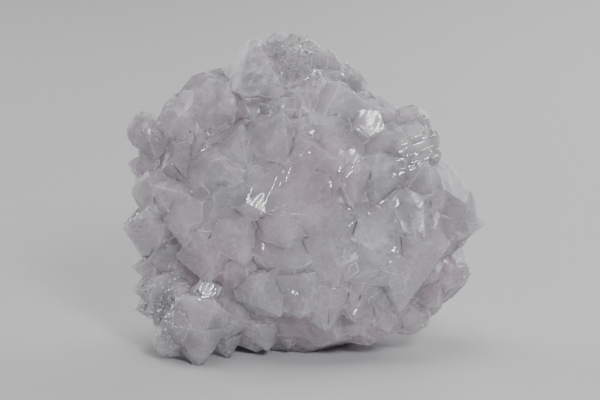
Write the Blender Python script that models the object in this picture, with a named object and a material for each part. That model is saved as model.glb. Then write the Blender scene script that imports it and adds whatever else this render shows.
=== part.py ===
"""A hand specimen of manganoan calcite: intergrown crystals in one solid cluster.

The cluster is laid out on its display face, which is seen square on:
across is to the right, rise is up the face, and out is towards the viewer.
It is then stood up, so that the face leans back, and cut flat underneath.
"""

import math
import random
from collections import namedtuple

import bmesh
import bpy
from mathutils import Euler, Matrix, Vector

MM = 0.001

# Driving dimensions, in millimetres and degrees
FACE_LEAN = 12.0  # how far the display face leans back from upright
FLOOR_LEVEL = 2.6  # height of the flat base above the horizontal plane through the face's origin

# Calcite's trigonal symmetry and its natural irregularity, in degrees and shares
THIRD_TURN = 120.0
SIXTH_TURN = 60.0
SCALENE_SPLIT = 23.0  # each scalenohedral pair lies this far either side of a third
CAP_TILT = 30.0  # the blunt rhombohedral cap on a point
FACE_WANDER = 2.5  # how far a natural face strays from its ideal direction
FACE_SHIFT = 0.03  # and from its ideal distance, as a share
# Rings of faces round an axis: their tilt, how many, and how far the ring is turned
MASS_RINGS = ((17.0, 3, 0.0), (38.0, 5, 30.0), (60.0, 7, 10.0), (86.0, 9, 0.0))
LENS_RINGS = ((5.0, 1, 0.0), (33.0, 5, 30.0), (66.0, 7, 10.0), (88.0, 8, 0.0))
LENS_WANDER = (5.0, 8.0)  # how far a lens's face strays in tilt and round the axis
LENS_CLOSEST = 0.94  # the nearest that a lens's face comes, as a share of its ideal distance
TABLE_FLARE = (6.0, 18.0)  # a table's sides spread this much towards its root
TABLE_WANDER = 9.0
TABLE_WIDTHS = (0.85, 1.1)  # the distance of a table's sides, as shares of half its width
RIM_SIDES = 7
RIM_WANDER = 12.0
RIM_SHIFT = 0.06
LAYER_DROP = 0.7  # each growth layer starts this much lower for every step sideways
SINK = 1.1  # crystals that sit on the body start this far inside it
FRONT_DEPTH = 0.5  # the front's crystals are this share as deep as they are wide
RIM_DEPTH = 1.0  # and those at its rim, which meet the back's
RIM_FADE = (20.0, 30.0)  # how far from the body's middle one turns into the other

# The direction of the faces that flash together: heading and lift
FLASH = (50.0, 64.0)

# A crystal is cut from a block this many times its largest measure, and a cut passes
# through a corner that is closer to it than this, in millimetres
BLOCK_SHARE = 4.0
CUT_WITHIN = 1e-5
BODY_ROLL = 15.0  # how far each part of the body is turned against the one before

SEED = 17

# across, rise and out place the crystal's middle; heading turns its axis about the face
# (0 is to the right, 90 up) and lift raises it towards the viewer; roll turns it about its axis.
# girth is its width, reach runs from the middle to the tip, and root from the middle inwards.
Crystal = namedtuple(
    "Crystal",
    "habit across rise out heading lift roll girth reach root faces cap rim layers step",
)


def point(across, rise, out, heading, lift, roll, girth, reach, root=None,
          faces=3, cap=0.0, rim=0.0, layers=1, step=0.8):
    """A pointed crystal, of three faces round its tip or six."""
    return Crystal("point", across, rise, out, heading, lift, roll, girth, reach,
                   root or reach, faces, cap, rim, layers, step)


def lens(across, rise, out, heading, lift, roll, girth, reach, layers=1, step=0.8):
    """A flattened crystal with curved faces and a rounded outline."""
    return Crystal("lens", across, rise, out, heading, lift, roll, girth, reach,
                   reach, 0, 0.0, 0.0, layers, step)


def mass(across, rise, out, heading, lift, roll, girth, reach):
    """A great rounded crystal, one of those that make up the body."""
    return Crystal("mass", across, rise, out, heading, lift, roll, girth, reach,
                   reach, 0, 0.0, 0.0, 1, 0.0)


def table(across, rise, out, roll, girth, reach, sides, layers=1, step=0.5, way=FLASH):
    """A crystal with one flat face square to its axis."""
    return Crystal("table", across, rise, out, *way, roll, girth, reach,
                   reach, sides, 0.0, 0.0, layers, step)


# The mass behind, as great lens-shaped crystals: middle, girth and half-thickness
BODY = (
    ((0.0, 31.0, -6.0), 58.0, 17.0),
    ((-3.0, 44.0, -6.0), 40.0, 13.5),
    ((-2.0, 22.0, -9.5), 43.0, 13.0),
)


def dome(across, rise):
    """How far out the body's front reaches at this point of the display face."""
    (middle_across, middle_rise, middle_out), girth, reach = BODY[0]
    share = math.hypot(across - middle_across, rise - middle_rise) / (girth / 2)
    return middle_out + reach * math.sqrt(max(0.0, 1.0 - share * share))


def depth_at(row):
    """How deep a crystal of the front is, as a share of its width."""
    (middle_across, middle_rise, _), _, _ = BODY[0]
    inner, outer = RIM_FADE
    share = (math.hypot(row.across - middle_across, row.rise - middle_rise) - inner) / (outer - inner)
    return FRONT_DEPTH + (RIM_DEPTH - FRONT_DEPTH) * min(1.0, max(0.0, share))


def on_dome(habit, across, rise, above, *rest, **more):
    """A crystal whose middle is this far above the body's front."""
    return habit(across, rise, dome(across, rise) + above - SINK, *rest, **more)


LOWER_RIGHT = (
    # the great blade that hangs in front, point down
    point(19.8, 24.5, 6.4, -95, 20, 15, 16.0, 14.2, faces=6, cap=0.04),
    # the broad bottom block and its neighbours
    lens(12.2, 13.6, 3.0, -75, 34, 40, 19.0, 7.8),
    point(8.0, 15.0, 2.5, -76, 20, 10, 15.0, 10.5, faces=6, cap=0.12),
    lens(20.6, 11.0, 0.0, -60, 30, 30, 9.0, 4.4),
    point(24.0, 14.2, -1.5, -40, 25, 75, 9.5, 5.5, cap=0.2, rim=0.9),
    lens(26.0, 16.4, -5.5, -40, 10, 20, 8.2, 4.2),
    # the striated block under the right-hand point
    point(28.5, 19.5, -3.5, -12, 14, 40, 11.5, 7.5, cap=0.3, rim=0.93),
    point(27.0, 18.0, -4.0, -20, 20, 0, 12.0, 6.5, cap=0.2, rim=0.95),
    # mottled faces left of the great blade
    point(9.5, 21.5, 6.0, -110, 60, 50, 16.0, 7.5, cap=0.25),
    point(14.5, 18.0, 5.5, -60, 55, 5, 13.0, 7.0, faces=6, cap=0.25),
)

RIGHT = (
    # the right-hand point and the serrated rim above it
    point(26.0, 28.6, -0.2, 2, 10, 90, 14.0, 10.8, faces=6, rim=0.97),
    lens(25.4, 32.6, -0.5, 40, 30, 20, 20.0, 7.2, layers=3, step=0.7),
    # the round crystal that faces the viewer, its top edge an arc
    lens(14.8, 27.0, 7.0, 100, 74, 20, 22.0, 7.0),
    point(22.0, 34.0, 3.0, 60, 45, 40, 14.0, 7.5, cap=0.2),
    # rounded knobs of the upper right
    lens(19.0, 43.6, -3.0, 60, 30, 10, 15.0, 6.0),
    lens(21.4, 48.6, -1.5, 75, 30, 10, 7.6, 4.0),
    lens(24.2, 45.6, -1.5, 20, 20, 50, 5.6, 3.2),
    lens(24.6, 42.6, -1.5, 5, 20, 50, 4.4, 3.0),
    # the striated plate, a stack of parallel blades
    point(20.6, 45.6, 3.0, 22, 14, 30, 5.5, 6.6, cap=0.3),
    point(20.8, 43.4, 3.7, 22, 14, 30, 5.5, 6.8, cap=0.3),
    point(20.6, 41.2, 4.2, 22, 14, 30, 5.5, 6.8, cap=0.3),
    point(19.6, 39.0, 4.6, 22, 14, 30, 5.5, 6.4, cap=0.3),
)

CENTRE = (
    # the wedge whose ridges meet at its foot
    point(3.4, 39.0, 7.9, -86, 30, 0, 13.5, 11.6),
    point(8.5, 37.0, 6.5, -80, 45, 20, 13.0, 8.5, faces=6, cap=0.1),
    # the lens below it and the highlight crystal to its left
    lens(-1.8, 25.5, 7.5, -60, 68, 20, 19.0, 6.8),
    point(-8.5, 35.5, 7.0, -100, 40, 60, 12.5, 8.6, faces=6),
    table(-9.4, 32.2, 10.4, 95, 3.4, 2.0, 3),
    # blocky faces that flash, right of the centre
    table(12.6, 48.0, 6.6, 20, 5.6, 2.2, 5, layers=2),
    table(8.8, 41.2, 9.6, 50, 4.0, 2.2, 5, layers=2),
    point(14.5, 41.0, 3.4, 40, 60, 30, 18.0, 7.5, faces=6, cap=0.3),
    # between the wedge and the pentagonal crystal
    point(1.0, 45.5, 6.0, 100, 64, 30, 17.0, 7.0, cap=0.25, layers=2, step=0.6),
    point(-7.0, 42.5, 5.2, 130, 64, 15, 17.0, 6.8, faces=6, cap=0.25),
    # the band under the lens
    point(0.0, 17.5, 2.6, -62, 40, 0, 17.0, 8.5, faces=6, cap=0.1),
    point(-9.0, 20.0, 3.5, -95, 50, 10, 13.0, 7.5, faces=6, cap=0.15),
)

TOP = (
    # the rough crest, the smooth crystal to its left and the striated one to its right
    lens(-1.6, 59.6, -1.5, 75, 24, 30, 12.5, 7.2, layers=2, step=0.8),
    lens(-4.4, 62.8, -1.8, 110, 20, 0, 5.8, 4.8),
    point(-9.2, 57.6, -0.3, 95, 22, 0, 16.5, 10.2, faces=6, cap=0.12),
    point(4.6, 57.0, -2.0, 84, 12, 20, 10.5, 7.8, faces=6, cap=0.08, layers=2),
    # the pentagonal crystal under the crest
    point(1.5, 52.0, 2.5, 88, 40, 60, 19.0, 10.2, cap=0.12),
    # the ridge that falls to the right
    point(7.8, 54.6, -2.0, 60, 15, 10, 11.0, 7.0, faces=6, cap=0.12),
    lens(9.8, 51.2, -2.5, 48, 22, 45, 12.0, 5.2),
    point(13.6, 49.8, -5.5, 40, 5, 0, 9.0, 5.0, faces=6, cap=0.1),
    # dark faces left of the pentagonal crystal
    point(-9.5, 52.5, 3.0, 120, 50, 40, 15.0, 7.0, cap=0.2),
    point(-4.8, 50.5, 6.0, 95, 58, 10, 10.0, 5.0, cap=0.2, layers=2, step=0.5),
)

UPPER_LEFT = (
    # the long clear plate on the shoulder
    lens(-18.2, 51.8, -0.5, 122, 25, 0, 17.0, 7.2),
    lens(-22.9, 48.6, -0.5, 128, 24, 20, 13.5, 6.2),
    # the knob at the corner
    lens(-31.3, 47.2, -2.0, 150, 20, 15, 7.6, 4.2),
    point(-28.5, 46.0, -1.5, 130, 30, 50, 10.0, 5.6, faces=6, cap=0.2),
    # broad faces of the left
    point(-23.0, 42.5, 1.0, 140, 56, 25, 18.0, 7.8, cap=0.22, layers=2, step=0.6),
    point(-14.5, 46.0, 3.5, 115, 60, 0, 18.0, 7.2, cap=0.22),
    lens(-15.0, 38.0, 6.0, 160, 66, 30, 16.0, 5.6),
)

LEFT = (
    point(-30.0, 40.0, -2.0, 168, 8, 40, 9.0, 5.8, faces=6),
    lens(-29.0, 35.0, -1.0, 182, 24, 0, 12.0, 5.0),
    point(-28.8, 28.5, -2.0, 184, 10, 60, 13.5, 8.4, rim=0.95, cap=0.1),
    point(-23.5, 32.0, 1.5, 200, 56, 10, 17.0, 7.5, cap=0.25, layers=2, step=0.6),
    point(-27.0, 22.5, -1.0, 195, 35, 20, 13.0, 6.0, cap=0.25),
    point(-30.2, 20.2, -2.0, 178, 8, 0, 7.0, 4.6, faces=6),
    point(-30.2, 15.9, -1.5, 184, 10, 30, 7.0, 4.4, faces=6),
    point(-29.8, 12.4, -1.5, 190, 10, 0, 7.0, 4.5, faces=6),
    lens(-25.5, 13.0, 1.0, 215, 40, 20, 13.5, 5.6),
)

LOWER_LEFT = (
    # the pinkish faces
    point(-18.0, 25.5, 3.5, -120, 62, 15, 19.0, 7.6, cap=0.3),
    point(-22.0, 19.5, 1.5, -140, 52, 45, 15.0, 7.2, faces=6, cap=0.25),
    # the striated patch and the smooth blade below it
    table(-18.8, 15.2, 7.4, 10, 4.4, 2.0, 4, layers=3),
    point(-18.0, 15.5, 3.0, -100, 55, 0, 14.0, 6.8, cap=0.2),
    point(-15.0, 12.8, 2.5, -98, 36, 60, 15.0, 9.0, faces=6, cap=0.08),
    # the knob and the point beside it
    lens(-26.5, 5.9, 3.4, -110, 20, 10, 7.0, 3.4),
    lens(-22.6, 9.8, 4.5, -100, 30, 40, 11.0, 5.6),
    point(-20.8, 7.4, 6.0, -90, 10, 15, 9.6, 8.0, root=4.0, faces=6),
    point(-20.4, 10.5, 6.5, -95, 35, 0, 12.0, 6.4, faces=6, cap=0.15),
    # the foot between the lobes
    point(-10.0, 8.6, -0.5, -85, 12, 20, 13.0, 6.6, cap=0.15),
    point(-3.5, 10.2, -3.5, -75, 8, 50, 12.0, 6.0, cap=0.15),
    point(-15.5, 5.6, 2.0, -80, 10, 10, 6.4, 3.8, faces=6),
    point(-8.0, 7.6, 2.4, -80, 14, 40, 8.0, 4.6, faces=6, cap=0.1),
    point(-2.6, 8.4, 0.8, -96, 12, 20, 9.0, 4.6, faces=6),
    point(3.6, 8.8, 0.6, -80, 14, 0, 8.0, 4.2, faces=6, cap=0.1),
)

SCALES = (
    # left of the centre
    on_dome(point, -13.2, 41.6, 0.0, 82, 35, 0, 11.0, 8.5, faces=6),
    on_dome(point, -19.8, 45.0, 0.0, 100, 36, 0, 11.0, 7.4, faces=6),
    on_dome(point, -24.8, 41.2, 0.5, 150, 52, 20, 12.0, 5.2, faces=6, cap=0.2),
    on_dome(point, -25.0, 33.6, 0.5, 150, 40, 50, 13.0, 7.8, faces=6),
    on_dome(point, -21.8, 29.6, 0.0, -110, 44, 10, 13.0, 8.0, faces=6),
    on_dome(point, -17.8, 23.0, 0.4, -100, 42, 15, 13.5, 8.0, faces=6),
    on_dome(point, -12.8, 26.2, 0.0, -78, 42, 0, 11.0, 7.5, faces=6),
    on_dome(point, -29.0, 19.8, 2.5, 190, 42, 40, 8.5, 4.8, faces=6),
    on_dome(point, -24.8, 17.6, 0.5, -115, 40, 0, 10.0, 5.6, faces=6),
    on_dome(point, -15.8, 52.4, 1.5, 110, 38, 30, 11.0, 6.4, faces=6),
    # across the bottom
    on_dome(point, -11.8, 19.0, 0.0, -68, 42, 20, 11.0, 7.4, faces=6),
    on_dome(point, -6.6, 16.0, 0.6, -72, 40, 50, 12.5, 7.4, faces=6),
    on_dome(point, -1.2, 15.2, 1.0, -76, 42, 0, 12.0, 6.6, faces=6, cap=0.1),
    on_dome(point, 4.0, 13.4, 1.5, -88, 34, 20, 10.0, 6.8, faces=6, layers=2),
    on_dome(point, 9.4, 14.6, 1.0, -84, 40, 0, 11.0, 6.8, faces=6),
    on_dome(point, 14.4, 12.0, 2.0, -60, 34, 30, 9.5, 6.2, faces=6),
    # right of the centre
    on_dome(point, 23.2, 20.0, 1.5, -30, 40, 10, 9.5, 5.6, cap=0.15),
    on_dome(lens, 25.0, 27.6, 2.0, 0, 50, 30, 12.0, 4.8),
    on_dome(point, 20.4, 30.8, 1.0, 78, 42, 0, 9.5, 6.4, faces=6),
    on_dome(point, 22.0, 36.8, 1.0, 62, 38, 20, 11.5, 6.2, faces=6),
    on_dome(point, 14.6, 38.4, 0.3, -98, 42, 40, 12.0, 8.6, faces=6),
    on_dome(point, 9.0, 37.4, 0.4, -82, 38, 0, 9.5, 7.6, faces=6),
    on_dome(point, 9.2, 21.8, 0.0, -104, 48, 30, 9.5, 6.4, faces=6),
    on_dome(point, 16.2, 22.6, 1.0, -60, 58, 0, 8.5, 4.6, cap=0.2, layers=2),
    on_dome(point, 17.4, 43.4, 1.0, 40, 48, 10, 12.0, 6.4, faces=6),
    # above the centre
    on_dome(point, -5.8, 45.0, 0.2, 72, 42, 15, 12.0, 7.8, faces=6),
    on_dome(point, 0.2, 45.4, 0.0, 104, 50, 45, 9.5, 5.4, faces=6),
    on_dome(point, 6.2, 52.4, 1.5, 78, 42, 10, 10.5, 6.2, faces=6),
    on_dome(point, -3.8, 29.4, 0.8, 98, 58, 30, 11.0, 4.6, faces=6, cap=0.15),
)

FRONT = LOWER_RIGHT + RIGHT + CENTRE + TOP + UPPER_LEFT + LEFT + LOWER_LEFT + SCALES

# Crystals of the back, spread evenly over the hidden side
BACK_DIRECTIONS = 108
BACK_FRONTMOST = 0.10  # directions further forward than this are left to the front's own rows
BACK_CENTRE = (-1.0, 32.0, -8.0)
BACK_RADII = (27.0, 25.0, 12.0)
# How far the cluster reaches from that centre, every 15 degrees round from the right
OUTLINE = (34.0, 34.0, 31.3, 26.5, 29.2, 32.0, 34.5, 34.0, 31.0, 33.4, 35.0, 34.5,
           33.5, 35.4, 37.0, 35.5, 32.5, 28.5, 26.5, 26.5, 30.0, 33.0, 35.0, 35.0)
OUTLINE_STEP = 15.0
INSET = 0.44  # the back's crystals stand in from the outline by this share of their width
BACK_GIRTH = (10.0, 17.0)
BACK_REACH = (0.36, 0.5)  # as shares of the width
BACK_TURN = 20.0  # how far a crystal of the back strays from straight outwards, in degrees
BACK_RISE = 18.0
BACK_CAP = (0.1, 0.3)
BACK_FACES = (3, 3, 6)
BACK_LAYERS = (1, 1, 2)
GOLDEN_TURN = math.pi * (3.0 - math.sqrt(5.0))


def axis_of(heading, lift):
    """The unit vector that points along a crystal, from its heading and its lift."""
    turn, up = math.radians(heading), math.radians(lift)
    return Vector((math.cos(turn) * math.cos(up), math.sin(turn) * math.cos(up), math.sin(up)))


def tilted(tilt, azimuth):
    """A face's normal, tilted from the crystal's own axis."""
    return Euler((0.0, math.radians(tilt), math.radians(azimuth))).to_matrix() @ Vector((0, 0, 1))


def around(count, offset):
    """Directions spread evenly round the axis."""
    return [offset + 360.0 / count * k for k in range(count)]


def point_planes(row, chance):
    """Faces that meet at both tips, with a blunt cap and a rim where the row has them."""
    half = row.girth / 2
    planes = []
    for end, length, offset in ((1, row.reach, 0.0), (-1, row.root, SIXTH_TURN)):
        tilt = math.degrees(math.atan2(length, half))
        thirds = around(3, row.roll + offset)
        if row.faces == 6:
            thirds = [third + side * SCALENE_SPLIT for third in thirds for side in (-1, 1)]
        for azimuth in thirds:
            stray = chance.uniform(-FACE_WANDER, FACE_WANDER)
            normal = tilted(tilt + stray, azimuth + chance.uniform(-FACE_WANDER, FACE_WANDER))
            normal.z *= end
            shift = 1 + chance.uniform(-FACE_SHIFT, FACE_SHIFT)
            planes.append((normal, length * abs(normal.z) * shift))
    if row.cap:
        for azimuth in around(3, row.roll + SIXTH_TURN):
            normal = tilted(CAP_TILT, azimuth)
            planes.append((normal, row.reach * (1 - row.cap) * normal.z))
    if row.rim:
        for azimuth in around(RIM_SIDES, row.roll):
            normal = tilted(90.0 + chance.uniform(-RIM_WANDER, RIM_WANDER), azimuth)
            shift = 1 + chance.uniform(-RIM_SHIFT, RIM_SHIFT)
            planes.append((normal, half * row.rim * shift))
    return planes


def ringed_planes(row, chance, rings):
    """Faces that touch a flattened ball, in rings round the axis."""
    half = row.girth / 2
    tip, turn = LENS_WANDER
    planes = []
    for end in (1, -1):
        for tilt, count, offset in rings:
            for azimuth in around(count, row.roll + offset + (end < 0) * SIXTH_TURN):
                normal = tilted(tilt + chance.uniform(-tip, tip), azimuth + chance.uniform(-turn, turn))
                normal.z *= end
                side = half * math.hypot(normal.x, normal.y)
                distance = math.hypot(side, row.reach * normal.z)
                planes.append((normal, distance * chance.uniform(LENS_CLOSEST, 1.0)))
    return planes


def lens_planes(row, chance):
    """A broad face ringed by narrow ones, on both sides."""
    return ringed_planes(row, chance, LENS_RINGS)


def mass_planes(row, chance):
    """Faces of much the same size all round."""
    return ringed_planes(row, chance, MASS_RINGS)


def table_planes(row, chance):
    """A flat top, flaring sides and a flat root."""
    planes = [(Vector((0, 0, 1)), row.reach), (Vector((0, 0, -1)), row.root)]
    for azimuth in around(row.faces, row.roll):
        flare = chance.uniform(*TABLE_FLARE)
        normal = tilted(90.0 - flare, azimuth + chance.uniform(-TABLE_WANDER, TABLE_WANDER))
        planes.append((normal, row.girth / 2 * chance.uniform(*TABLE_WIDTHS)))
    return planes


PLANES = {"point": point_planes, "lens": lens_planes, "mass": mass_planes, "table": table_planes}


def cut_crystal(row, chance):
    """A mesh of one crystal, cut from a block by its face planes."""
    block = BLOCK_SHARE * max(row.girth, row.reach, row.root)
    bm = bmesh.new()
    bmesh.ops.create_cube(bm, size=block)
    for normal, distance in PLANES[row.habit](row, chance):
        everything = bm.verts[:] + bm.edges[:] + bm.faces[:]
        cut = bmesh.ops.bisect_plane(bm, geom=everything, dist=CUT_WITHIN, plane_co=normal * distance,
                                     plane_no=normal, clear_outer=True)
        edges = [item for item in cut["geom_cut"] if isinstance(item, bmesh.types.BMEdge)]
        if edges:
            bmesh.ops.contextual_create(bm, geom=edges)
    bmesh.ops.recalc_face_normals(bm, faces=bm.faces)
    return bm


def add_helper(name, bm, garden):
    """Keeps a mesh in the collection that the cluster is joined from."""
    mesh = bpy.data.meshes.new(name)
    bm.to_mesh(mesh)
    bm.free()
    helper = bpy.data.objects.new(name, mesh)
    helper.hide_render = True
    helper.display_type = "WIRE"
    garden.objects.link(helper)
    return helper


def grow(name, row, depth, garden):
    """Adds a crystal, and its parallel growth layers, to the collection."""
    chance = random.Random(f"{SEED} {name}")
    axis = axis_of(row.heading, row.lift)
    turn = axis.to_track_quat("Z", "Y").to_matrix().to_4x4()
    sideways = turn.to_3x3() @ tilted(90.0, row.roll)
    for layer in range(row.layers):
        bm = cut_crystal(row, chance)
        middle = Vector((row.across, row.rise, row.out))
        middle += (sideways - LAYER_DROP * axis) * row.step * layer
        squeeze = Matrix.Scale(depth, 4, (0, 0, 1))
        bmesh.ops.transform(bm, matrix=Matrix.Translation(middle) @ squeeze @ turn, verts=bm.verts)
        add_helper(f"{name}_{layer}", bm, garden)


def outline_reach(way):
    """How far the cluster reaches in this direction."""
    turn = math.degrees(math.atan2(way.y, way.x)) / OUTLINE_STEP
    before = math.floor(turn)
    share = turn - before
    first, second = (OUTLINE[k % len(OUTLINE)] for k in (before, before + 1))
    return first + share * (second - first)


def back_rows():
    """Crystals on the hidden side, pointing away from the middle."""
    chance = random.Random(SEED)
    for k in range(BACK_DIRECTIONS):
        out = 1.0 - (2 * k + 1) / BACK_DIRECTIONS
        if out > BACK_FRONTMOST:
            continue
        ring = math.sqrt(1 - out * out)
        way = Vector((ring * math.cos(GOLDEN_TURN * k), ring * math.sin(GOLDEN_TURN * k), out))
        girth = chance.uniform(*BACK_GIRTH)
        radius = outline_reach(way) - INSET * girth
        place = [c + r * w for c, r, w in zip(BACK_CENTRE, (radius, radius, BACK_RADII[2]), way)]
        lean = Vector([w / r for w, r in zip(way, BACK_RADII)]).normalized()
        heading = math.degrees(math.atan2(lean.y, lean.x)) + chance.uniform(-BACK_TURN, BACK_TURN)
        lift = math.degrees(math.asin(lean.z)) + chance.uniform(-BACK_RISE, BACK_RISE)
        reach = girth * chance.uniform(*BACK_REACH)
        roll = chance.uniform(0, THIRD_TURN)
        yield point(*place, heading, lift, roll, girth, reach, faces=chance.choice(BACK_FACES),
                    cap=chance.uniform(*BACK_CAP), layers=chance.choice(BACK_LAYERS))


def body_mass(garden):
    """The first great crystal, kept as the object that the rest is joined to."""
    chance = random.Random(SEED)
    first = None
    for k, (middle, girth, reach) in enumerate(BODY):
        bm = cut_crystal(mass(*middle, 90, 90, BODY_ROLL * k, girth, reach), chance)
        bmesh.ops.translate(bm, vec=middle, verts=bm.verts)
        helper = add_helper(f"body_{k}", bm, garden)
        first = first or helper
    return first


def join_all(garden, first):
    """One mesh from everything in the collection."""
    garden.objects.unlink(first)
    bpy.context.scene.collection.objects.link(first)
    union = first.modifiers.new("Union", "BOOLEAN")
    union.operation = "UNION"
    union.solver = "EXACT"
    union.operand_type = "COLLECTION"
    union.collection = garden
    graph = bpy.context.evaluated_depsgraph_get()
    return bpy.data.meshes.new_from_object(first.evaluated_get(graph))


def connected(start):
    """Every vertex that edges join to this one."""
    found = {start}
    waiting = [start]
    while waiting:
        for edge in waiting.pop().link_edges:
            for vertex in edge.verts:
                if vertex not in found:
                    found.add(vertex)
                    waiting.append(vertex)
    return found


def keep_outer_skin(bm):
    """Fills the pockets closed in between crystals, by taking away every skin but the largest."""
    rest = set(bm.verts)
    skins = []
    while rest:
        skin = connected(next(iter(rest)))
        skins.append(skin)
        rest -= skin
    skins.sort(key=len)
    inner = [vertex for skin in skins[:-1] for vertex in skin]
    bmesh.ops.delete(bm, geom=inner, context="VERTS")


def stand_and_trim(mesh):
    """Stands the cluster up and cuts its base flat."""
    bm = bmesh.new()
    bm.from_mesh(mesh)
    keep_outer_skin(bm)
    upright = Matrix.Rotation(math.radians(90.0 - FACE_LEAN), 4, "X") @ Matrix.Scale(MM, 4)
    bmesh.ops.transform(bm, matrix=Matrix.Translation((0, 0, -FLOOR_LEVEL * MM)) @ upright,
                        verts=bm.verts)
    cut = bmesh.ops.bisect_plane(bm, geom=bm.verts[:] + bm.edges[:] + bm.faces[:], dist=CUT_WITHIN * MM,
                                 plane_co=(0, 0, 0), plane_no=(0, 0, -1), clear_outer=True)
    rim = [item for item in cut["geom_cut"] if isinstance(item, bmesh.types.BMEdge)]
    bmesh.ops.holes_fill(bm, edges=rim)
    bm.to_mesh(mesh)
    bm.free()


def centre_over_origin(mesh):
    """Moves the cluster sideways, so that its box is centred over the origin."""
    shift = Vector((0, 0, 0))
    for axis in (0, 1):
        spread = [vertex.co[axis] for vertex in mesh.vertices]
        shift[axis] = -(min(spread) + max(spread)) / 2
    mesh.transform(Matrix.Translation(shift))


def calcite():
    """Pale, faintly pink, translucent calcite."""
    colour = (0.80, 0.74, 0.77, 1.0)
    material = bpy.data.materials.new("manganoan_calcite")
    material.use_nodes = True
    shader = material.node_tree.nodes["Principled BSDF"]
    shader.inputs["Base Color"].default_value = colour
    shader.inputs["Roughness"].default_value = 0.35
    shader.inputs["Metallic"].default_value = 0.0
    material.diffuse_color = colour
    return material


def main():
    for old in list(bpy.data.objects):
        bpy.data.objects.remove(old)
    garden = bpy.data.collections.new("growth")
    bpy.context.scene.collection.children.link(garden)
    first = body_mass(garden)
    for k, row in enumerate(FRONT):
        grow(f"front_{k}", row, depth_at(row), garden)
    for k, row in enumerate(back_rows()):
        grow(f"back_{k}", row, 1.0, garden)
    mesh = join_all(garden, first)
    for helper in [first, *garden.objects]:
        bpy.data.objects.remove(helper)
    bpy.data.collections.remove(garden)

    stand_and_trim(mesh)
    centre_over_origin(mesh)
    mesh.name = "calcite_cluster"
    mesh.materials.clear()
    mesh.materials.append(calcite())
    cluster = bpy.data.objects.new("calcite_cluster", mesh)
    bpy.context.scene.collection.objects.link(cluster)


if __name__ == "__main__":
    main()
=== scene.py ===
"""The looks of a manganoan calcite specimen: the crystal cluster, its druse and a plain studio."""

import math
import random

import bmesh
import bpy
from bpy.props import FloatProperty, FloatVectorProperty, IntProperty, PointerProperty
from bpy.types import Operator, Panel, PropertyGroup
from mathutils import Matrix, Vector, noise
from mathutils.bvhtree import BVHTree


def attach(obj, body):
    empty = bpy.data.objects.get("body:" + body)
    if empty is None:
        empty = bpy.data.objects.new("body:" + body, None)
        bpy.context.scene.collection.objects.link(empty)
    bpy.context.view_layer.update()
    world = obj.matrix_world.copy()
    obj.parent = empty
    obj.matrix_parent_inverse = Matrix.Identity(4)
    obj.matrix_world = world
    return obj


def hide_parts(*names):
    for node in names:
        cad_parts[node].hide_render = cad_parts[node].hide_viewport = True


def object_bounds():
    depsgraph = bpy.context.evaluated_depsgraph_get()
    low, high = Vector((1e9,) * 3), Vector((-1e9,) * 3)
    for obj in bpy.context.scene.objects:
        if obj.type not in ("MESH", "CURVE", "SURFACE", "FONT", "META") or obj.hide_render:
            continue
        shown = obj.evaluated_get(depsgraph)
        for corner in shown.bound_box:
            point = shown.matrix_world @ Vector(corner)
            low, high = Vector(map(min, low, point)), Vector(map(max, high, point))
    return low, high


bl_info = {
    "name": "Manganoan calcite specimen",
    "version": (1, 0, 0),
    "blender": (4, 5, 0),
    "location": "3D View > Sidebar > Calcite",
    "description": "Dresses the calcite cluster and sets up a plain studio",
    "category": "Object",
}

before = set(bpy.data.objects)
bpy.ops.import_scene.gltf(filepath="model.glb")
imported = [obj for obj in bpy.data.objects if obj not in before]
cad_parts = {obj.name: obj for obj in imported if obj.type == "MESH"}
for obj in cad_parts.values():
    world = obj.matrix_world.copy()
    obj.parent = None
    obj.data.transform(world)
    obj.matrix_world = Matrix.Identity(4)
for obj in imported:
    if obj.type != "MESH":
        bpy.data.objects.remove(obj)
CAD_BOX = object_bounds()
MM = 0.001

# The display face leans back, and its own origin lies under the cluster
FACE_LEAN = math.radians(12.0)
FACE_ORIGIN = Vector((-0.16, -11.54, -2.6)) * MM
ACROSS = Vector((1.0, 0.0, 0.0))
RISE = Vector((0.0, math.sin(FACE_LEAN), math.cos(FACE_LEAN)))
OUT = Vector((0.0, -math.cos(FACE_LEAN), math.sin(FACE_LEAN)))

# How the photograph's frame sits on the display face
PIXELS_PER_MM = 5.0
MIDDLE_PIXEL = 304.0
FOOT_PIXEL = 368.0
IMAGE_CENTRE = (300.0, 200.0)
FRAME_WIDTH = 120.0 * MM

# The flat faces that flash towards the viewer, and how nearly a face has to match them
FLASH_HEADING = math.radians(50.0)
FLASH_LIFT = math.radians(76.3)
FLASH_FACE = (math.cos(FLASH_LIFT) * (math.cos(FLASH_HEADING) * ACROSS + math.sin(FLASH_HEADING) * RISE)
              + math.sin(FLASH_LIFT) * OUT)
MIRROR_SPREAD = math.radians(2.0)


def on_face(across, rise, out=0.0):
    """The point with these distances across, up and out of the display face, in millimetres."""
    return FACE_ORIGIN + (across * ACROSS + rise * RISE + out * OUT) * MM


def at_pixel(x, y, out=0.0):
    """The point on the display face that the photograph shows at this pixel."""
    return on_face((x - MIDDLE_PIXEL) / PIXELS_PER_MM, (FOOT_PIXEL - y) / PIXELS_PER_MM, out)


FACE_MIDDLE = on_face(0.0, 33.0)
FLASH_DISTANCE = 0.55


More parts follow.
